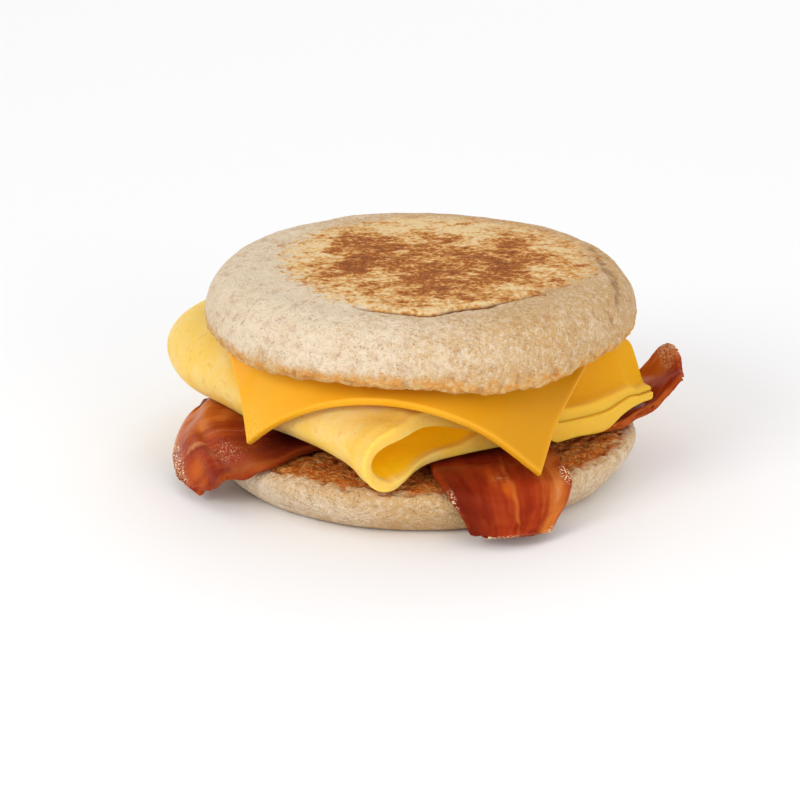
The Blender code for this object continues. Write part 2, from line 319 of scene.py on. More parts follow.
# %% Make a skin
def skin(name, points, faces, carried):
    """A smooth-shaded mesh. Carried is a dictionary of named lists with one value for each point."""
    mesh = bpy.data.meshes.new(name)
    mesh.from_pydata(points, [], faces)
    mesh.shade_smooth()
    for label, values in carried.items():
        if isinstance(values[0], float):
            mesh.attributes.new(label, "FLOAT", "POINT").data.foreach_set("value", values)
        else:
            flat = [part for value in values for part in value]
            mesh.attributes.new(label, "FLOAT_VECTOR", "POINT").data.foreach_set("vector", flat)
    made = bpy.data.objects.new(name, mesh)
    bpy.context.scene.collection.objects.link(made)
    return made


def dress(piece, node, finish):
    """Gives a piece its finish and stands it for the plain solid of its node."""
    piece.data.materials.append(finish.material)
    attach(piece, "root")
    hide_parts(node)
    low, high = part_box(node)
    size = " x ".join(f"{1000 * side:.1f}" for side in piece.dimensions)
    solid = " x ".join(f"{1000 * side:.1f}" for side in high - low)
    print(f"{piece.name}: {len(piece.data.polygons)} faces, {size} mm, its solid {solid} mm")


# %% [markdown]
# ## Muffin halves
# An English muffin is cooked on a griddle in a ring, so it is round, with a nearly straight pale
# wall and two flat browned faces. Each half is a profile turned round the Z axis. The turned skin
# is then moved point by point along its own normal. That is more work than a Displace modifier, but
# the same function can also say how brown or how deep each point is.

# %% Turn a profile
MUFFIN_RADIUS = 48.0 * MM
WALL_START, WALL_FULL = 34.0 * MM, 44.0 * MM
WALL_RELIEF = 0.5 * MM
WALL_LUMP = 16.0
PROFILE_SAMPLES = 4000


def wall_swell(spot, seed):
    """The wide unevenness of a half's wall."""
    x, y, z = spot
    wall = ramp(WALL_START, WALL_FULL, math.hypot(x, y))
    return WALL_RELIEF * wall * grain((x, y, 1.5 * z), WALL_LUMP, seed)


def resampled(corners, spacing):
    """Points along a smooth curve through the corners, set apart as spacing(radius, height) asks."""
    stations = [(r * MM, 0.0, z * MM) for r, z in corners]
    fine = [along(stations, i / PROFILE_SAMPLES) for i in range(PROFILE_SAMPLES + 1)]
    chosen = [fine[0]]
    walked = 0.0
    for before, here in zip(fine, fine[1:]):
        walked += (here - before).length
        if walked >= spacing(here.x, here.z):
            chosen.append(here)
            walked = 0.0
    chosen[-1] = fine[-1]
    return [(p.x, p.z) for p in chosen]


def turned_skin(name, corners, spacing, steps, move):
    """Turns a profile, from the middle of the top to the middle of the bottom, and moves each point."""
    profile = resampled(corners, spacing)
    points, labels = [], {}
    last = len(profile) - 1
    for number, (radius, height) in enumerate(profile):
        before = profile[max(number - 1, 0)]
        after = profile[min(number + 1, last)]
        outward = Vector((before[1] - after[1], 0.0, after[0] - before[0])).normalized()
        for step in range(steps if 0 < number < last else 1):
            turn = 2.0 * math.pi * step / steps
            cos, sin = math.cos(turn), math.sin(turn)
            spot = Vector((radius * cos, radius * sin, height))
            normal = Vector((outward.x * cos, outward.x * sin, outward.z))
            moved, values = move(spot, normal)
            points.append(moved)
            for label, value in values.items():
                labels.setdefault(label, []).append(value)
    faces = []
    for step in range(steps):
        beside = (step + 1) % steps
        faces.append((0, 1 + step, 1 + beside))
        for ring in range(last - 2):
            upper = 1 + ring * steps
            lower = upper + steps
            faces.append((upper + step, lower + step, lower + beside, upper + beside))
        bottom = 1 + (last - 2) * steps
        faces.append((bottom + step, len(points) - 1, bottom + beside))
    return skin(name, points, faces, labels)


# %% [markdown]
# The crown's top was pressed flat on the griddle. Where the flat face ends, the dough rose past it
# and left a crease, deep at the front, fainter to the right and lost at the back. The lowest edge
# is torn crumb, because the muffin was pulled apart rather than cut, and it hangs unevenly.

# %% Numbers of the crown
CROWN_CORNERS = [
    (0, 47.8), (13, 47.8), (26, 47.8), (33, 47.6), (35.5, 47.3), (38, 47.3), (41, 46.9), (44.2, 45.3),
    (46.4, 42.4), (47.6, 39.2), (48, 36.6), (47.3, 35), (45.6, 34.45), (43, 34.4), (34, 34.4), (17, 34.4),
    (0, 34.4),
]
CROWN_CUT = 34.4 * MM
CROWN_STEPS = 520
# No part of the griddled face is lower than FACE_LOW, and no part of the crease than CREASE_LOW
FACE_LOW = 40.0 * MM
CREASE_LOW = 43.0 * MM
# Where the torn rim hangs lower: x, y, width and depth in millimetres
RIM_SAGS = [(20, -43, 14, 2.5), (-36, -31, 10, 1.5)]
# The crease: angle in degrees from +X, radius in millimetres and share of its full depth
CREASE = [
    (-180, 30.5, 0), (-148, 30, 0), (-124, 32, 0.15), (-108, 34, 0.7), (-90, 35.6, 1), (-72, 33.6, 1),
    (-55, 32.6, 0.8), (-35, 33.6, 0.45), (-20, 35.8, 0.25), (-5, 38, 0.12), (15, 38.6, 0.05), (45, 37, 0),
    (90, 35.5, 0), (135, 33, 0), (180, 30.5, 0),
]
CREASE_DEPTH = 1.1 * MM
CREASE_WIDTH = 0.5 * MM
# The lip of the crease stands up inside it and sinks outside it
LIP_WIDTH = 3.5 * MM
LIP_INSIDE, LIP_OUTSIDE = 0.12 * MM, -0.1 * MM
# A second fold runs down the right side, and the browning is centred a little to the right
SIDE_FOLD = [(36.9, 18, 46.9), (40.6, 9, 46.7), (41, 1, 46.7), (42.6, -9, 45), (42.6, -20, 41)]
SIDE_FOLD_START = 30.0 * MM
SIDE_FOLD_WIDTH = 0.45 * MM
SIDE_FOLD_DEPTH = 0.85 * MM
HEART = Vector((3.5 * MM, -1.5 * MM))
HEART_RADIUS, HEART_END = 15.0 * MM, 35.0 * MM
# Lighter and darker patches of the griddled face: x, y, radius in millimetres and change of browning
PATCHES = [
    (-8, -13.5, 3.5, -0.7), (13, 14, 5, -0.6), (-25, 8, 5, -0.5), (-2, 4, 4, -0.5), (11, -3, 4, -0.6),
    (-9, 24, 5, -0.4), (5, 27, 8, -0.6), (-15, 18, 5, 0.5), (-10, 6, 5, 0.5), (-15, -2, 4, 0.6),
    (2, -5, 6, 0.35), (19, 6, 6, 0.6), (-3, -19, 5, 0.3),
]
print("crown profile of", len(CROWN_CORNERS), "corners")


# %% Crease and side fold
def crease_at(angle):
    """Radius and strength of the crease at an angle in degrees."""
    for before, after in zip(CREASE, CREASE[1:]):
        if angle <= after[0]:
            share = ramp(before[0], after[0], angle)
            radius, strength = (start + (end - start) * share for start, end in zip(before[1:], after[1:]))
            return radius * MM, strength
    return CREASE[-1][1] * MM, CREASE[-1][2]


def side_fold(spot):
    """Strength of the fold down the right side at a point."""
    nearest = 1.0
    for before, after in zip(SIDE_FOLD, SIDE_FOLD[1:]):
        start, step = Vector(before) * MM, (Vector(after) - Vector(before)) * MM
        share = min(max((spot - start).dot(step) / step.length_squared, 0.0), 1.0)
        nearest = min(nearest, (spot - start - step * share).length)
    wander = 0.6 * MM * grain(spot, 3.0, 4.9)
    broken = ramp(-0.35, 0.15, grain(spot, 4.0, 2.6))
    return broken * hump(max(0.0, nearest - 1.2 * MM + wander), SIDE_FOLD_WIDTH)


print("crease at the front, radius and strength", crease_at(-90.0))


# %% Shape of the crown
def round_mark(x, y, at, to, width):
    """A soft round mark whose middle and width are given in millimetres."""
    return hump(math.hypot(x - at * MM, y - to * MM), width * MM)


def crown_point(spot, normal):
    """Where a point of the turned crown goes, and what it carries."""
    x, y, z = spot
    flat = (x, y, 0.0)
    radius = math.hypot(x, y)
    low = ramp(39.5 * MM, CROWN_CUT, z)
    # painted shade: pits are sunk and also painted darker in the finish, as shade in them
    pit = ramp(0.22, 0.55, grain(spot, 1.7, 9.4))
    out = wall_swell(spot, 7.9) + 0.16 * MM * grain(spot, 5.0, 3.1)
    out += (0.07 + 0.3 * low) * MM * rough(spot, 1.6, 5.2) - (0.14 + 0.25 * low) * MM * pit
    crease_radius, strength = crease_at(math.degrees(math.atan2(y, x)))
    wander = 0.9 * MM * grain(flat, 7.0, 2.2) + 0.25 * MM * grain(flat, 1.8, 8.8)
    away = radius - crease_radius - wander
    groove = strength if z > CREASE_LOW else 0.0
    line = groove * hump(away, CREASE_WIDTH)
    lip = groove * ramp(-LIP_WIDTH, 0.0, -abs(away))
    out += lip * (LIP_OUTSIDE if away > 0.0 else LIP_INSIDE) - CREASE_DEPTH * line
    fold = side_fold(spot) if x > SIDE_FOLD_START else 0.0
    out -= SIDE_FOLD_DEPTH * fold
    # painted shade: the crease and the side fold are also darkened in the finish, as shade in them
    line = max(line, 0.55 * fold)
    moved = spot + normal * out
    rim = ramp(40.4 * MM, CROWN_CUT, z) * rise(40.0, 45.0, radius)
    for at, to, width, depth in RIM_SAGS:
        moved.z -= depth * MM * rim * round_mark(x, y, at, to, width)
    moved.z += rim * (0.55 * MM * grain(flat, 4.5, 4.4) + 0.3 * MM * grain(flat, 1.9, 1.7))
    soft = (1.2 + 7.5 * (1.0 - strength)) * MM
    griddle = ramp(soft, -soft, away) if z > FACE_LOW else 0.0
    browning = ramp(HEART_END, HEART_RADIUS, (spot.xy - HEART).length)
    browning += sum(change * round_mark(x, y, at, to, size) for at, to, size, change in PATCHES)
    # the wall grows more golden towards the right, the back and the torn edge; at the side fold it is painted
    # darker, as shade in the fold
    tan = 0.34 * rise(-30.0, 35.0, x) + 0.34 * low + 0.15 * rise(0.0, 40.0, y) - 0.04
    return moved, {"pit": pit * (1.0 - 0.6 * low), "crease": line, "griddled": griddle,
                   "browning": browning, "torn": low, "tan": tan + 0.8 * fold}


def crown_spacing(radius, height):
    """The mesh is fine where it shows and round the crease, and coarse underneath."""
    if height < 34.5 * MM and radius < 42.0 * MM:
        return 1.6 * MM
    if height > 45.0 * MM:
        return 0.35 * MM if radius > 28.0 * MM else 0.62 * MM
    return 0.33 * MM


crown_crust = turned_skin("crown_crust", CROWN_CORNERS, crown_spacing, CROWN_STEPS, crown_point)
print("crown", len(crown_crust.data.polygons), "faces")

# %% [markdown]
# The base is the other half. Its cut face was toasted, so its crags are brown on top, and that
# face shows in front of the egg and at the right, where nothing covers it. The wall curves in to
# a narrow foot.

# %% Shape of the base
BASE_CORNERS = [
    (0, 10.9), (17, 10.9), (34, 10.9), (43, 10.9), (45.6, 10.85), (47.2, 10.3), (48, 9), (47.7, 7.2),
    (46.7, 5), (45.1, 3), (43, 1.1), (41.2, 0.25), (39.6, 0), (34, 0), (17, 0), (0, 0),
]
BASE_CUT = 10.9 * MM
BASE_STEPS = 460
# Turns an angle into a length round the wall, for cracks that stand upright
MUFFIN_GIRTH = 60.0 * MM


def base_point(spot, normal):
    """Where a point of the turned base goes, and what it carries."""
    x, y, z = spot
    flat = (x, y, 0.0)
    round_wall = MUFFIN_GIRTH * math.atan2(y, x)
    radius = math.hypot(x, y)
    cut = ramp(9.9 * MM, BASE_CUT, z)
    foot = rise(2.2, 0.0, z)
    shell = (1.0 - cut) * (1.0 - foot)
    # painted shade: the pits of the cut face and of the wall are painted darker in the finish
    pit = ramp(0.15, 0.55, grain(spot, 2.0, 6.6))
    small_pit = ramp(0.25, 0.55, grain(spot, 1.6, 4.1))
    crack = ramp(0.3, 0.62, grain((round_wall, 0.3 * z, 0.0), 2.4, 8.3))
    crack *= ramp(0.0, 0.35, grain((round_wall, z, 3.0 * MM), 6.0, 1.1))
    out = (1.0 - foot) * wall_swell(spot, 1.3)
    out += cut * (0.55 * MM * min(rough(spot, 2.4, 2.9), 0.3) - 0.15 * MM - 0.95 * MM * pit)
    out += shell * (0.14 * MM * grain(spot, 4.5, 3.7) + 0.08 * MM * rough(spot, 1.4, 5.8)
                    - 0.16 * MM * small_pit - 0.35 * MM * crack)
    toasted = rise(9.6, 10.6, z + 0.9 * MM * grain(flat, 3.6, 7.7))
    toasted *= 0.35 + 0.65 * rise(47.5, 43.0, radius + 2.0 * MM * grain(flat, 5.0, 3.3))
    tan = 0.02 + 0.42 * hump(x - 8.0 * MM, 14.0 * MM) + 0.15 * ramp(6.0 * MM, BASE_CUT, z)
    tan += 0.08 * rise(3.0, 0.0, z)
    # painted shade: the cracks of the wall are painted darker in the finish, as shade in them
    return spot + normal * out, {
        "pit": max(cut * pit, shell * small_pit), "crease": 0.55 * shell * crack, "tan": tan, "torn": toasted,
        "griddled": rise(0.4, 0.0, z), "browning": 0.8 * rise(39.0, 20.0, radius)}


def base_spacing(radius, height):
    if height < 0.3 * MM:
        return 2.5 * MM
    if height > 10.5 * MM:
        return 1.3 * MM if radius < 20.0 * MM else 0.5 * MM
    return 0.34 * MM


base_crust = turned_skin("base_crust", BASE_CORNERS, base_spacing, BASE_STEPS, base_point)
print("base", len(base_crust.data.polygons), "faces")

# %% [markdown]
# ### Bread finish
# The wall of a muffin is matte and floury: pale beige with darker crumbs of bran and corn meal,
# and here and there a pale fleck of flour. Noise from 11 mm down to a third of a millimetre gives
# that. The finest light specks are partly flour dust and partly painted glints. The griddled faces
# are browned in patches, with fine light grit left on them. The torn crumb is golden on the crown
# and darker on the base, which was toasted. Pits, cracks, the crease and the side fold are painted
# darker, as shade in them. The mesh says where each of these starts, and noise breaks up the borders.

# %% Bread finish
FLOUR = paint(232, 217, 197)
BEIGE = paint(221, 202, 175)
WHEAT = paint(198, 160, 110)
BRAN = paint(126, 98, 56)
SAND = paint(214, 176, 116)
STRAW = paint(232, 202, 152)
GOLD = paint(212, 154, 84)
CRUMB = paint(206, 146, 76)
BROWN_AND_SHADE = paint(160, 86, 32)
CHAR_AND_SHADE = paint(108, 54, 22)
RUST = paint(188, 94, 28)


def bread_finish(name, crumb, crumb_dark, seed):
    bread = Finish(name, Roughness=0.88, Specular_IOR_Level=0.12)
    clouds = bread.grain(11.0, seed)
    mottle = bread.grain(2.6, seed + 1.0)
    sand = bread.grain(0.75, seed + 2.0)
    dust = bread.grain(0.36, seed + 3.0)
    flour = bread.ramp(0.48, 0.66, bread.grain(1.1, seed + 4.0))
    bran = bread.ramp(0.64, 0.72, bread.grain(0.4, seed + 5.0, detail=0.0))
    blotch = bread.grain(5.5, seed + 6.0, stretch=(1.4, 1.0, 1.0))
    streak = bread.grain(2.0, seed + 7.0, stretch=(1.5, 1.0, 1.0))
    grit = bread.grain(0.95, seed + 8.0, detail=1.0)
    # the finest light specks: partly flour dust, partly painted glints standing in for sparkle
    dust_and_glints = bread.ramp(0.56, 0.66, dust)
    pit = bread.attribute("pit")
    bare = 0.4 * clouds + 0.2 * mottle + 0.4 * sand + bread.attribute("tan")
    wall = bread.layers(
        BEIGE, (bread.ramp(0.42, 0.82, bare), WHEAT), (0.35 * flour, FLOUR),
        (0.5 * bran * bread.ramp(0.35, 0.6, mottle), BRAN), (0.35 * dust_and_glints, FLOUR))
    heat = 0.5 * bread.attribute("browning") - 0.14 + 2.1 * (blotch - 0.5) + 1.8 * (streak - 0.5)
    heat = heat + 1.5 * (grit - 0.5) + 0.8 * (sand - 0.5)
    browned = bread.layers(
        STRAW, (bread.ramp(-0.4, 0.12, heat), GOLD), (bread.ramp(0.05, 0.55, heat), BROWN_AND_SHADE),
        (0.6 * bread.ramp(0.6, 1.0, heat), CHAR_AND_SHADE), (0.5 * dust_and_glints, SAND))
    torn = bread.mix(bread.ramp(0.38, 0.58, 0.4 * mottle + 0.6 * grit), crumb, crumb_dark)
    # painted shade: pits in the torn crumb are painted darker
    torn = bread.mix(0.5 * pit, torn, CHAR_AND_SHADE)
    griddled = bread.ramp(0.3, 0.7, bread.attribute("griddled") + (streak - 0.5) + (sand - 0.5))
    tear = bread.ramp(0.25, 0.85, bread.attribute("torn") + 1.2 * (mottle - 0.5))
    # painted shade: the crease, the side fold and the wall's cracks are painted dark, as shade in them
    crease = bread.ramp(0.25, 0.95, bread.attribute("crease"))
    # painted shade: pits everywhere are painted a little browner
    colour = bread.layers(wall, (griddled, browned), (tear, torn), (0.22 * pit, BROWN_AND_SHADE), (crease, CHAR_AND_SHADE))
    relief = bread.relief((mottle, 0.5), (sand, 0.65), (dust, 0.2))
    bread.surface(Base_Color=colour, Normal=relief)
    return bread


dress(crown_crust, "muffin_crown", bread_finish("crown_bread", SAND, CRUMB, 3.0))
dress(base_crust, "muffin_base", bread_finish("base_bread", CRUMB, RUST, 21.0))


# %% [markdown]
# ## Thin sheets
# Bacon and cheese are thin sheets with soft edges. A Solidify modifier would leave square edges, so
# a leaf is built instead: a top and a bottom grid that meet in one line round the edge, with a
# thickness that falls off quickly near it.

# %% Build a leaf
def crowded(count, edge):
    """Shares from 0 to 1, close together near both ends, where the sheet's edge turns."""
    close = [edge * share for share in (0.0, 0.07, 0.22, 0.45, 0.72, 1.0)]
    middle = [edge + (1.0 - 2.0 * edge) * i / count for i in range(1, count)]
    return close + middle + [1.0 - share for share in reversed(close)]


def edge_fall(distance, radius):
    """Share of the full thickness at a distance from the edge."""
    near = 1.0 - min(distance / radius, 1.0)
    return (1.0 - near ** 2.6) ** (1.0 / 2.6)


def leaf(name, middle, half, carry, us, vs):
    """A closed skin round the sheet middle(u, v), half(u, v) thick on each side of it."""
    last_row, last_column = len(us) - 1, len(vs) - 1
    spots = [[middle(u, v) for v in vs] for u in us]
    points, values = [], []
    upper, lower = {}, {}
    for i, u in enumerate(us):
        for j, v in enumerate(vs):
            ahead = spots[min(i + 1, last_row)][j] - spots[max(i - 1, 0)][j]
            across = spots[i][min(j + 1, last_column)] - spots[i][max(j - 1, 0)]
            offset = ahead.cross(across).normalized() * half(u, v)
            upper[i, j] = lower[i, j] = len(points)
            points.append(spots[i][j] + offset)
            values.append(carry(u, v, 1.0))
            if 0 < i < last_row and 0 < j < last_column:
                lower[i, j] = len(points)
                points.append(spots[i][j] - offset)
                values.append(carry(u, v, -1.0))
    faces = []
    for i in range(last_row):
        for j in range(last_column):
            corners = ((i, j), (i + 1, j), (i + 1, j + 1), (i, j + 1))
            faces.append(tuple(upper[corner] for corner in corners))
            faces.append(tuple(lower[corner] for corner in reversed(corners)))
    carried = {label: [value[label] for value in values] for label in values[0]}
    return skin(name, points, faces, carried)


# %% [markdown]
# ## Bacon
# Streaky bacon is a thin slice with bands of lean and fat along it. In the pan the lean shrinks and
# darkens while the fat turns glassy and orange, so the slice ruffles and its edges go crisp and
# frilly. Two strips cross on the base. Each follows three lines, its two edges and its middle.

# %% Routes of the two strips, in millimetres
# Heights on the base, and where the front strip goes over the long one
LYING = 12.4
OVER = 15.4
LONG_NEAR = [
    (-47.9, -24.6, 1.9), (-45.2, -28.8, 5.4), (-41, -33.2, 8.8), (-33.4, -34.8, 11.9), (-20, -21.5, LYING),
    (10, -17, LYING), (35, -12, LYING), (44.3, -9.4, 12.8), (51.6, -2.2, 14.8), (58.4, -0.4, 20.6),
]
LONG_MIDDLE = [
    (-54.5, -10.5, 5.4), (-50.6, -11.5, 10.8), (-45, -12, 12.9), (-34, -11, 12.6), (-14, -6, LYING),
    (12, -2, LYING), (36, 3, LYING), (46, 4.5, 13.2), (53.2, 5.5, 17.2), (58, 6, 23.2),
]
LONG_FAR = [
    (-48.4, 9, 12.3), (-46, 9.5, LYING), (-42, 9, LYING), (-32, 7, LYING), (-14, 9, LYING),
    (12, 13, LYING), (36, 17, LYING), (45, 16.5, 13.4), (51.2, 14.5, 18.6), (56.1, 12, 25.6),
]
FRONT_LEFT = [
    (10.9, -49.8, 2.9), (8.8, -49.9, 6.8), (5.8, -49, 11.2), (2.8, -41, 12.7), (1.6, -32, 12.6),
    (-3, -17, OVER), (-7, 2, OVER), (-11, 16, 15),
]
FRONT_MIDDLE = [
    (19.6, -52.2, 3), (20.2, -49.2, 5.2), (19.8, -46.9, 10.6), (18.2, -38.5, 12.7), (16.2, -29, 12.6),
    (11.5, -13, OVER), (6, 5, OVER), (2, 18.5, 14.9),
]
FRONT_RIGHT = [
    (27.4, -45.6, 2), (30.6, -41, 6), (32.3, -37.8, 10.6), (30, -31.5, 12.5), (28.5, -24, 12.8),
    (25, -9, OVER), (19, 9, OVER), (15.5, 20.5, 14.8),
]
BACON_HALF = 1.05 * MM
BACON_EDGE = 1.1 * MM
CRISP_WIDTH = 2.2 * MM
# The strips ruffle where they leave the base, over this reach on both sides of its rim
FREE_REACH = 4.0 * MM


def ribbon_point(edges, u, v):
    """A point of the ribbon: u along it, v across it from its first edge to its last."""
    near, middle, far = (along(edge, u) for edge in edges)
    weights = ((1 - v) * (1 - 2 * v), 4 * v * (1 - v), v * (2 * v - 1))
    return (near * weights[0] + middle * weights[1] + far * weights[2]) * MM


# %% [markdown]
# The bands of fat are given as places across the strip with a width, and noise along the strip
# makes them wander. Fat stands a little proud of the lean. The same value goes to the finish.

# %% Shape of a strip
def spotted(spots, u, v):
    """The strongest mark at a point, of spots given as place and size along and across, and strength."""
    return max(strength * hump((u - at) / size, 1.0) * hump((v - to) / breadth, 1.0)
               for at, to, size, breadth, strength in spots)


def fat_share(bands, length, u, v, seed):
    """How fatty the slice is at a point, from 0 in the lean to 1 in a band."""
    wander = 0.07 * grain((length * u, 0.0, 0.0), 22.0, seed)
    wander += 0.025 * grain((length * u, 9.0 * MM * v, 0.0), 4.0, seed + 3.0)
    return max(strength * hump(v + wander - place, width) for place, width, strength in bands)


def bacon_skin(name, edges, bands, marks, length, width, ruffle, seed, rows, columns):
    """One strip: the ribbon with ruffles, wrinkles, frilled edges and bands of fat."""
    def from_edge(u, v):
        return min(min(u, 1.0 - u) * length, min(v, 1.0 - v) * width)

    def middle(u, v):
        rim = abs(2.0 * v - 1.0)
        rim_place, end_place = (length * u, 0.0, v), (width * v, 0.0, u)
        frill = ramp(0.8, 1.0, rim) * (0.01 * grain(rim_place, 2.2, seed + 5.0)
                                        + 0.016 * grain(rim_place, 5.0, seed + 6.0))
        nibble = 0.005 * ramp(0.93, 1.0, abs(2.0 * u - 1.0)) * grain(end_place, 3.4, seed + 7.0)
        v_here = min(max(v + math.copysign(frill, v - 0.5) * rim, 0.0), 1.0)
        u_here = min(max(u + math.copysign(nibble, u - 0.5), 0.0), 1.0)
        place = ribbon_point(edges, u_here, v_here)
        free = ruffle * ramp(-FREE_REACH, FREE_REACH, math.hypot(place.x, place.y) - MUFFIN_RADIUS)
        place.z += free * math.sin(9.0 * v + 40.0 * u + seed)
        lie = (length * u, width * v, 0.0)
        place.z += (0.12 * MM + 0.5 * free) * grain(lie, 6.5, seed + 1.0)
        place.y += 0.5 * free * grain(lie, 5.0, seed + 2.0)
        return place

    def half(u, v):
        fat = fat_share(bands, length, u, v, seed)
        lean = 0.07 * rough((length * u, width * v, 0.0), 1.5, seed + 8.0) * (1.0 - fat)
        return BACON_HALF * edge_fall(from_edge(u, v), BACON_EDGE) * (0.82 + 0.16 * fat + lean)

    def carry(u, v, side):
        uneven = 0.8 * MM * grain((length * u, width * v, 0.0), 3.0, seed)
        values = {label: spotted(spots, u, v) for label, spots in marks.items()}
        values["fat"] = fat_share(bands, length, u, v, seed)
        values["crisp"] = 1.0 - ramp(0.0, CRISP_WIDTH, from_edge(u, v) + uneven)
        values["lie"] = (length * u, width * v, side * MM)
        return values

    us = crowded(rows, BACON_EDGE / length)
    vs = crowded(columns, BACON_EDGE / width)
    return leaf(name, middle, half, carry, us, vs)


# %% Make both strips
# Bands of fat: place across, width and strength
LONG_BANDS = [(0.76, 0.17, 0.95), (0, 0.02, 0.4)]
FRONT_BANDS = [(0.53, 0.018, 0.6), (0.9, 0.12, 0.75)]
# Marks on the strips: amber is soft clear fat, pale is opaque fat, the dark mark is seared edges and painted
# shade under the egg, and beads are grease with painted glints on them
LONG_MARKS = {
    "amber": [(0.1, 0.15, 0.045, 0.075, 0.55)],
    "pale": [(0.13, 0.33, 0.045, 0.026, 0.6), (0.25, 0.42, 0.08, 0.01, 0.5)],
    "dark": [(0.06, 1, 0.1, 0.06, 1), (0.385, 0.3, 0.06, 0.45, 1), (0.24, 0, 0.1, 0.1, 0.5)],
    "beads": [(0.025, 0.36, 0.034, 0.18, 1), (0.23, 0.2, 0.08, 0.13, 0.42), (0.97, 0.8, 0.03, 0.3, 0.8)],
}
FRONT_MARKS = {
    "amber": [(0.38, 0.38, 0.05, 0.06, 0.45), (0.32, 0.44, 0.04, 0.04, 0.5)],
    "pale": [(0.25, 0.86, 0.06, 0.04, 0.5)],
    "dark": [(0.15, 0.06, 0.4, 0.15, 1), (0.68, 0.4, 0.15, 0.6, 1)],
    "beads": [(0.32, 0.97, 0.045, 0.05, 1), (0.01, 0.93, 0.03, 0.06, 1), (0.25, 0.02, 0.08, 0.03, 0.5),
              (0, 0.3, 0.006, 0.25, 0.8), (0.36, 0.42, 0.05, 0.1, 0.35)],
}
long_bacon = bacon_skin(
    "bacon_long", (LONG_NEAR, LONG_MIDDLE, LONG_FAR), LONG_BANDS, LONG_MARKS,
    length=118.0 * MM, width=36.0 * MM, ruffle=0.6 * MM, seed=0.0, rows=210, columns=62)
front_bacon = bacon_skin(
    "bacon_front", (FRONT_LEFT, FRONT_MIDDLE, FRONT_RIGHT), FRONT_BANDS, FRONT_MARKS,
    length=74.0 * MM, width=27.0 * MM, ruffle=0.22 * MM, seed=2.0, rows=140, columns=52)
print("bacon", len(long_bacon.data.polygons), "and", len(front_bacon.data.polygons), "faces")

# %% [markdown]
# ### Bacon finish
# Cooked fat lets light in and glows orange, so the shader scatters light under the surface. Lean
# is deep red-brown and bumpy. Its pin-point glints of grease are painted highlights, light dots in
# the colour, which stay sharp where true highlights would blur. The seared marks also carry painted
# shade where a strip lies under the egg. Fine streaks run along the strip: the noise is read in the
# strip's own coordinates, which the mesh carries as `lie`.

# %% Bacon finish
LEAN = paint(164, 58, 22)
LEAN_DARK = paint(138, 39, 16)
FAT = paint(184, 90, 28)
FAT_PALE = paint(204, 118, 48)
AMBER = paint(206, 100, 24)
PALE = paint(206, 148, 100)
CRISP = paint(150, 60, 22)
SEAR_AND_SHADE = paint(88, 20, 14)
GLINT = paint(255, 226, 184)


def bacon_finish(name, sear_and_shade_share, fattier, seed):
    bacon = Finish(name, Specular_IOR_Level=0.07, Specular_Tint=(1.0, 0.62, 0.36, 1.0),
                   Subsurface_Weight=0.25, Subsurface_Radius=(1.0, 0.35, 0.18), Subsurface_Scale=1.4 * MM)
    lie = bacon.attribute("lie", "Vector")
    streak = bacon.grain(1.6, seed, stretch=(9.0, 1.0, 1.0), place=lie)
    fibre = bacon.grain(0.5, seed + 1.0, stretch=(3.0, 1.0, 1.0), place=lie)
    cloud = bacon.grain(7.0, seed + 2.0, detail=1.0, place=lie)
    bubble = bacon.grain(0.42, seed + 3.0, detail=0.0, place=lie)
    smear = bacon.grain(2.0, seed + 4.0, place=lie)
    lean = bacon.mix(bacon.ramp(0.35, 0.65, 0.35 * cloud + 0.65 * streak), LEAN_DARK, LEAN)
    fat = bacon.mix(bacon.ramp(0.38, 0.64, 0.5 * streak + 0.5 * cloud), FAT, FAT_PALE)
    fatty = bacon.attribute("fat") + fattier + 0.4 * (streak - 0.5) + 0.25 * (cloud - 0.5)
    amber = bacon.attribute("amber") + 0.5 * (streak - 0.5)
    pale = bacon.attribute("pale") + 0.5 * (fibre - 0.5)
    crisp = bacon.attribute("crisp") + 0.5 * (cloud - 0.5)
    beads = bacon.attribute("beads")
    beaded = bacon.ramp(0.15, 0.6, beads + 0.6 * (smear - 0.5))
    # painted highlights: light glint dots where the grease beads lie
    glint = bacon.ramp(0.57, 0.64, bubble) * beaded * bacon.ramp(0.1, 0.75, beads)
    # painted shade: the dark mark darkens seared edges and the shade where a strip lies under the egg
    colour = bacon.layers(
        lean, (bacon.ramp(0.1, 0.9, fatty), fat), (bacon.ramp(0.1, 0.8, amber), AMBER),
        (0.8 * bacon.ramp(0.2, 0.8, pale), PALE), (sear_and_shade_share * bacon.attribute("dark"), SEAR_AND_SHADE),
        (0.4 * bacon.ramp(0.25, 0.8, crisp), CRISP), (0.95 * glint, GLINT))
    relief = bacon.relief((streak, 0.1), (fibre, 0.04), (bubble * beaded, 0.15))
    gloss = 0.22 + 0.16 * bacon.ramp(0.4, 0.62, cloud)
    bacon.surface(Base_Color=colour, Normal=relief, Roughness=gloss)
    return bacon


dress(long_bacon, "bacon_strip_long", bacon_finish("long_bacon", 0.95, 0.2, 1.0))
dress(front_bacon, "bacon_strip_front", bacon_finish("front_bacon", 0.75, -0.08, 9.0))


# %% [markdown]
# ## Folded egg
# The egg is beaten, poured thin, set and folded, so it is one smooth sheet that turns back on
# itself. At the front the fold stands open as a round loop. The sheet is lofted from U-shaped
# sections, from the open front end to the back, with an outer and an inner outline. Near every rim the
# two outlines are pinched together, which rounds the sheet's edge.

# %% Shape of the egg
EGG_BOTTOM_Z = 14.2 * MM
EGG_TOP_Z = 30.8 * MM
EGG_LAYER = 4.2 * MM
FOLD_REACH = 8.5 * MM
FOLD_WALL = 2.4 * MM
FOLD_HOLLOW_LENGTH = 29.0 * MM
FOLD_HOLLOW_HALF_HEIGHT = 5.0 * MM
FOLD_HOLLOW_DEPTH = 42.0 * MM
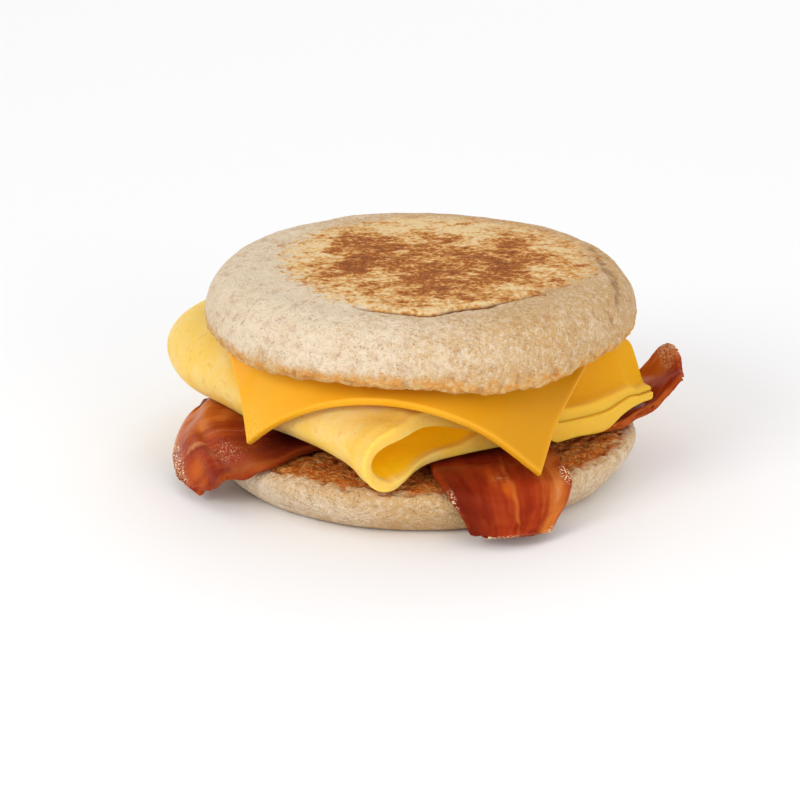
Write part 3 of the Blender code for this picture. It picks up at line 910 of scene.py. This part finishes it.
# Brings the highest value of sqrt(h) * (1 - h) to one
HOLLOW_PEAK = 2.598
FRONT_FADE = 30.0 * MM
FRONT_SLOPE = 15.0 * MM
UPPER_RECESS = 0.7 * MM
SLIT_HALF = 0.06 * MM
EGG_TIP = 3.0 * MM
LOWER_SHARE = 0.6
RIM_ROUND = 0.9 * MM
FOLD_EDGE = [(-12.5, -50.5), (-26, -24), (-93, 22), (-34, 45)]
OPEN_EDGE = [(51.5, -2), (40, 17), (34, 48), (4, 56)]
FRONT_BOWS = [(2.2, 7, 5), (-2.2, 22, 8), (5, 53, 13)]
TOWARD_FRONT = Vector((0.61, -0.79, 0.0))


def bezier(handles, t):
    a, b, c, d = (Vector((x * MM, y * MM, 0.0)) for x, y in handles)
    s = 1.0 - t
    return a * s ** 3 + 3.0 * b * s * s * t + 3.0 * c * s * t * t + d * t ** 3


def egg_underside(x, y):
    """Height of the underside: over the strips, down over the front rim, up at the right, down behind."""
    over_crossing = rise(-34.0, -21.0, y) * rise(31.0, 17.0, y)
    over_crossing *= rise(32.0, 20.0, abs(x - 9.0 * MM + 0.27 * y))
    sag = 5.0 * MM * hump(math.hypot(0.75 * (x + 10.0 * MM), y + 57.0 * MM), 9.0 * MM)
    tip = 2.4 * MM * rise(40.0, 50.0, x)
    settled = 2.4 * MM * rise(23.0, 36.0, y)
    return EGG_BOTTOM_Z + 3.0 * MM * over_crossing - sag + tip - settled


def egg_droop(x, y):
    """How far the lower layer's front edge hangs beside the front strip."""
    beside = rise(26.0, 30.0, x) * rise(48.0, 36.0, x)
    return 3.0 * MM * beside * rise(-6.0, -14.0, y)


def egg_top(x, y, across, back, span):
    """Height of the upper face, which slopes down to the open end, the right edge and the front."""
    front_drop = (4.5 + 5.5 * rise(20.0, 60.0, across)) * MM
    front_drop *= 1.0 - ramp(0.0, FRONT_SLOPE, back)
    side_drop = 3.0 * MM * rise(8.0, 0.0, span - across)
    radius = math.hypot(x, y)
    rim_drop = 5.0 * MM * rise(31.0, 43.0, radius) * ramp(0.1, 0.5, -y / radius)
    lobe_drop = 1.4 * MM * rise(44.0, 52.0, radius) * rise(-30.0, -45.0, x)
    return EGG_TOP_Z - max(front_drop, rim_drop) - side_drop - lobe_drop


# %% Sections of the egg
EDGE_STEPS = (0.0, 0.04, 0.14, 0.3, 0.52, 0.76, 1.0)


def egg_reaches(span):
    """Distances from the fold at which a section is read: close together round the fold and at the rim."""
    nose = [FOLD_REACH * (1.0 - math.cos(QUARTER * i / 16)) for i in range(16)]
    flat = [FOLD_REACH + (span - RIM_ROUND - FOLD_REACH) * i / 62 for i in range(62)]
    return nose + flat + [span - RIM_ROUND * step for step in reversed(EDGE_STEPS)]


def pinch_at(distance):
    """How far each outline moves in to round the rim, at a distance from it."""
    near = 1.0 - min(distance / RIM_ROUND, 1.0)
    return RIM_ROUND * (1.0 - math.sqrt(max(0.0, 1.0 - near * near)))


def egg_section(fold, edge, back, depth):
    """Outer and inner outline of the folded sheet, with each point's distance from the fold."""
    row = edge - fold
    span = row.length
    row = row / span
    fade = 1.0 - ramp(0.0, FRONT_FADE, back)
    outlines = [[], [], [], []]
    for reach in egg_reaches(span):
        bow = sum(size * MM * hump(reach - at * MM, width * MM) for size, at, width in FRONT_BOWS)
        recess = UPPER_RECESS * rise(14.0, 30.0, reach)
        spot = fold + row * reach + TOWARD_FRONT * bow * fade
        upper_spot = spot - TOWARD_FRONT * recess * fade
        droop = egg_droop(spot.x, spot.y)
        under = egg_underside(spot.x, spot.y) - droop
        top = max(egg_top(spot.x, spot.y, reach, back, span), under + EGG_TIP)
        round_nose = math.sqrt(max(0.0, 1.0 - (1.0 - min(reach / FOLD_REACH, 1.0)) ** 2))
        middle = 0.5 * (under + top)
        half = 0.5 * (top - under) * round_nose
        inner = FOLD_WALL + reach * (span - FOLD_WALL) / span
        shift = row * (inner - reach)
        hollow = min(max((inner - FOLD_WALL) / FOLD_HOLLOW_LENGTH, 0.0), 1.0)
        opening = FOLD_HOLLOW_HALF_HEIGHT * (1.0 - ramp(0.0, FOLD_HOLLOW_DEPTH, back))
        opening *= HOLLOW_PEAK * math.sqrt(hollow) * (1.0 - hollow)
        slit = SLIT_HALF * min(1.0, 20.0 * hollow)
        wall = FOLD_WALL * min(1.0, 5.0 * hollow)
        settle = rise(0.0, 24.0, inner)
        layer = min(EGG_LAYER + droop, LOWER_SHARE * (top - under))
        meeting = middle * (1.0 - settle) + (under + layer) * settle
        below = slit + min(opening, max(meeting - middle + half - wall, 0.0))
        above = slit + min(opening, max(middle + half - meeting - wall, 0.0))
        pairs = (
            (Vector((spot.x, spot.y, middle - half)), spot + shift + Vector((0.0, 0.0, meeting - below))),
            (Vector((upper_spot.x, upper_spot.y, middle + half)),
             upper_spot + shift + Vector((0.0, 0.0, meeting + above))),
        )
        pinch = max(pinch_at(depth), pinch_at(span - reach))
        closed = rise(26.0, 34.0, inner)
        for side, (outer, inside) in enumerate(pairs):
            gap = inside - outer
            step = gap.normalized() * min(pinch, 0.45 * gap.length)
            outlines[2 * side].append((outer + step, reach))
            outlines[2 * side + 1].append((inside - step * (1.0 - 0.8 * closed), reach))
    lower_outer, lower_inner, upper_outer, upper_inner = outlines
    return lower_outer[::-1] + upper_outer[1:], lower_inner[::-1] + upper_inner[1:]


# %% [markdown]
# The soft marks of a cooked sheet are added last: low ripples that follow the open end, and a faint
# coarse and fine unevenness everywhere. They move only the outer outline, straight away from or
# toward the inner one, and by less than the sheet's thickness, so the sheet doesn't cross itself.

# %% Loft the egg
EGG_SECTIONS = 96
SECTION_CROWDING = 1.15
FOLD_SAMPLES = 2000
# Ripples near the open end: distance from it, width and height in millimetres
RIPPLES = ((3.6, 1.0, 0.28), (1.9, 0.6, -0.2))


def egg_marks(spot, back, reach):
    """How far a point of the outer outline moves outward."""
    ripple = sum(height * MM * hump(back - at * MM, width * MM) for at, width, height in RIPPLES)
    soft = 0.3 * MM * grain(spot, 12.0, 3.3) + 0.06 * MM * grain(spot, 3.0, 5.1)
    return ripple * rise(26.0, 12.0, reach) + soft


def egg_skin():
    samples = [bezier(FOLD_EDGE, i / FOLD_SAMPLES) for i in range(FOLD_SAMPLES + 1)]
    walked = [0.0]
    for before, here in zip(samples, samples[1:]):
        walked.append(walked[-1] + (here - before).length)
    total = walked[-1]
    shares = [(i / EGG_SECTIONS) ** SECTION_CROWDING for i in range(1, EGG_SECTIONS)]
    backs = [RIM_ROUND * step for step in EDGE_STEPS]
    backs += [RIM_ROUND + (total - 2.0 * RIM_ROUND) * share for share in shares]
    backs += [total - RIM_ROUND * step for step in reversed(EDGE_STEPS)]
    points, rims, insides = [], [], []
    place = 0
    for back in backs:
        while place < len(walked) - 2 and walked[place + 1] < back:
            place += 1
        t = (place + (back - walked[place]) / (walked[place + 1] - walked[place])) / FOLD_SAMPLES
        depth = min(back, total - back)
        outer, inner = egg_section(bezier(FOLD_EDGE, t), bezier(OPEN_EDGE, t), back, depth)
        for outline, other in ((outer, inner), (inner, outer)):
            for (spot, reach), (across, _) in zip(outline, other):
                away = (spot - across).normalized()
                points.append(spot + away * (egg_marks(spot, back, reach) if outline is outer else 0.0))
                rims.append(1.0 - rise(0.0, 2.6, depth))
                insides.append(rise(0.8, 3.0, depth) if outline is inner else 0.0)
    ring = len(outer)
    faces = []
    for number in range(len(backs) - 1):
        here = 2 * ring * number
        ahead = here + 2 * ring
        for j in range(ring - 1):
            faces.append((here + j, here + j + 1, ahead + j + 1, ahead + j))
            i = j + ring
            faces.append((here + i, ahead + i, ahead + i + 1, here + i + 1))
        faces.append((here, ahead, ahead + ring, here + ring))
        end = ring - 1
        faces.append((here + end, here + end + ring, ahead + end + ring, ahead + end))
    last = 2 * ring * (len(backs) - 1)
    for j in range(ring - 1):
        faces.append((j, j + ring, j + 1 + ring, j + 1))
        faces.append((last + j, last + j + 1, last + j + 1 + ring, last + j + ring))
    return skin("egg_sheet", points, faces, {"rim": rims, "inside": insides})


egg_sheet = egg_skin()
print("egg", len(egg_sheet.data.polygons), "faces")

# %% [markdown]
# ### Egg finish
# Set egg is pale yellow, slightly see-through and moist. Light that goes in comes out warmer, which
# is why its shaded folds look golden rather than grey. Subsurface scattering does much of that, and
# the rest is painted shade: towards the right the egg is painted a deeper gold, as the shade of the
# cheese and the crown. Only the hollow of the fold gets a faint painted glow and a brighter yellow,
# for the light that comes through the sheet.

# %% Egg finish
YOLK = paint(232, 191, 84)
CREAM = paint(230, 202, 130)
DEEP_YOLK_AND_SHADE = paint(226, 162, 10)
HOLLOW_GLOW = paint(246, 196, 14)


def egg_finish():
    egg = Finish("egg_finish", Specular_IOR_Level=0.07, Specular_Tint=(1.0, 0.86, 0.45, 1.0),
                 Emission_Strength=0.1, Subsurface_Weight=0.8,
                 Subsurface_Radius=(1.0, 0.55, 0.12), Subsurface_Scale=4.0 * MM)
    cloud = egg.grain(9.0, 2.0)
    curd = egg.grain(2.2, 5.0)
    fine = egg.grain(0.6, 7.0)
    inside = egg.attribute("inside")
    colour = egg.layers(
        YOLK, (egg.ramp(0.35, 0.7, 0.6 * cloud + 0.4 * curd), CREAM),
        (0.5 * egg.ramp(0.58, 0.72, curd), DEEP_YOLK_AND_SHADE),
        # painted shade: deeper gold towards the right, for the shade of the cheese and the crown
        (0.45 * egg.ramp(1.0 * MM, 9.0 * MM, egg.aside()), DEEP_YOLK_AND_SHADE),
        (0.9 * egg.ramp(4.0 * MM, 30.0 * MM, egg.aside()), DEEP_YOLK_AND_SHADE),
        (0.5 * egg.attribute("rim"), YOLK), (0.95 * inside, HOLLOW_GLOW))
    relief = egg.relief((curd, 0.25), (fine, 0.06))
    gloss = 0.36 + 0.22 * egg.ramp(0.35, 0.65, curd)
    # painted light: the hollow is painted a brighter yellow and glows, for the light that comes through the
    # sheet
    glow = egg.mix(inside, paint(0, 0, 0), HOLLOW_GLOW)
    egg.surface(Base_Color=colour, Normal=relief, Roughness=gloss, Emission_Color=glow)
    return egg


dress(egg_sheet, "folded_egg", egg_finish())


# %% [markdown]
# ## Cheese
# A square of processed cheese lies on the egg under the crown. It is warm, so it has gone limp: the
# middle and the back stay flat, the front edge droops a little, and its two corners hang down. Each
# point of the flat square is bent over a round edge, by an angle that depends on its direction.

# %% Shape of the cheese
CHEESE_SIDE = 77.0 * MM
CHEESE_HALF = 1.05 * MM
CHEESE_EDGE = 0.6 * MM
CHEESE_MIDDLE = (1.3 * MM, -4.5 * MM)
CHEESE_Z = 32.5 * MM
CHEESE_TURN = math.radians(-13.0)
# How far from the middle the slice is held up, at the front and at the back
FRONT_HOLD = 33.5 * MM
BACK_HOLD = 62.0 * MM
CHEESE_BEND = 8.0 * MM
EDGE_HANG = math.radians(12.0)
# The two hanging corners: direction, extra hang
CORNERS = ((math.radians(-143.0), math.radians(56.0)), (math.radians(-58.0), math.radians(42.0)))
CORNER_SPREAD = 0.36


def draped(a, b):
    """Where a point of the flat slice ends up once the slice hangs over the edge of the egg."""
    flat = math.hypot(a, b)
    turn = math.atan2(b, a) + CHEESE_TURN
    held = ramp(0.5, 0.0, -math.sin(turn))
    radius = FRONT_HOLD + (BACK_HOLD - FRONT_HOLD) * held
    hang = EDGE_HANG + sum(extra * hump(turn - corner, CORNER_SPREAD) for corner, extra in CORNERS)
    free = flat - radius
    out, drop = flat, 0.0
    if free > 0.0:
        angle = min(free / CHEESE_BEND, hang)
        straight = free - angle * CHEESE_BEND
        out = radius + CHEESE_BEND * math.sin(angle) + straight * math.cos(angle)
        drop = CHEESE_BEND * (1.0 - math.cos(angle)) + straight * math.sin(angle)
    return Vector((out * math.cos(turn), out * math.sin(turn), CHEESE_Z - drop))


def cheese_flat(u, v):
    """A point of the flat slice, whose right front corner is a little drawn out."""
    p, q = 2.0 * u - 1.0, 2.0 * v - 1.0
    trim = 1.0 + (0.022 if p > 0.0 > q else 0.0) * ramp(1.6, 2.0, abs(p) + abs(q))
    wave = 1.0 + 0.006 * grain((p, q, 0.0), 0.5 / MM, 4.0) * max(abs(p), abs(q)) ** 6
    return (0.5 * CHEESE_SIDE * p * trim * wave + CHEESE_MIDDLE[0],
            0.5 * CHEESE_SIDE * q * trim * wave + CHEESE_MIDDLE[1])


def cheese_middle(u, v):
    place = draped(*cheese_flat(u, v))
    place.z += 0.1 * MM * grain(place, 9.0, 2.4)
    return place


def cheese_from_edge(u, v):
    return min(u, 1.0 - u, v, 1.0 - v) * CHEESE_SIDE


def cheese_half(u, v):
    return CHEESE_HALF * edge_fall(cheese_from_edge(u, v), CHEESE_EDGE)


LEFT_TIP = draped(*cheese_flat(0.0, 0.0))


def cheese_carry(u, v, _):
    place = draped(*cheese_flat(u, v))
    # painted shade: the last value grows where the slice goes in under the crown, whose shade is painted a
    # warmer orange
    return {"rim": 1.0 - rise(0.0, 1.4, cheese_from_edge(u, v)),
            "beads": rise(11.0, 3.0, (place - LEFT_TIP).length),
            "tucked": rise(29.8, 31.6, place.z)}


cheese_shares = crowded(110, CHEESE_EDGE / CHEESE_SIDE)
cheese = leaf("cheese_square", cheese_middle, cheese_half, cheese_carry, cheese_shares, cheese_shares)
print("cheese", len(cheese.data.polygons), "faces, left tip at", LEFT_TIP)

# %% [markdown]
# ### Cheese finish
# Processed cheese is even and smooth, so nearly all of its look is in how light passes through it
# and in a soft gloss. Shade is painted on it as well: a deeper orange towards the right, and a warmer
# orange where it goes in under the crown. Only the hanging left corner sweats, with fine beads of
# oil, which are glossier and carry painted highlights as lighter dots.

# %% Cheese finish
CHEDDAR = paint(236, 168, 28)
CHEDDAR_PALE = paint(234, 174, 42)
CHEDDAR_GLINT = paint(255, 226, 130)
CHEDDAR_SHADE = paint(194, 134, 10)
CHEDDAR_WARM_SHADE = paint(232, 120, 10)


def cheese_finish():
    cheddar = Finish("cheese_finish", Specular_IOR_Level=0.16, Subsurface_Weight=0.4,
                     Subsurface_Radius=(1.0, 0.45, 0.1), Subsurface_Scale=2.5 * MM)
    cloud = cheddar.grain(14.0, 3.0)
    fine = cheddar.grain(0.9, 6.0)
    # painted highlights: the oil beads get lighter glint dots in the colour, and a lower roughness
    bead_glint = cheddar.ramp(0.6, 0.68, cheddar.grain(0.45, 8.0, detail=0.0)) * cheddar.attribute("beads")
    colour = cheddar.layers(
        CHEDDAR, (0.5 * cheddar.ramp(0.35, 0.7, cloud), CHEDDAR_PALE),
        # painted shade: deeper orange towards the right
        (0.8 * cheddar.ramp(-5.0 * MM, 25.0 * MM, cheddar.aside()), CHEDDAR_SHADE),
        (0.35 * cheddar.attribute("rim"), CHEDDAR_PALE),
        (0.5 * cheddar.attribute("tucked"), CHEDDAR_WARM_SHADE), (0.35 * bead_glint, CHEDDAR_GLINT))
    gloss = 0.34 + 0.1 * cheddar.ramp(0.4, 0.6, cloud) - 0.2 * bead_glint
    cheddar.surface(Base_Color=colour, Normal=cheddar.relief((fine, 0.03)), Roughness=gloss)
    return cheddar


dress(cheese, "cheese_slice", cheese_finish())
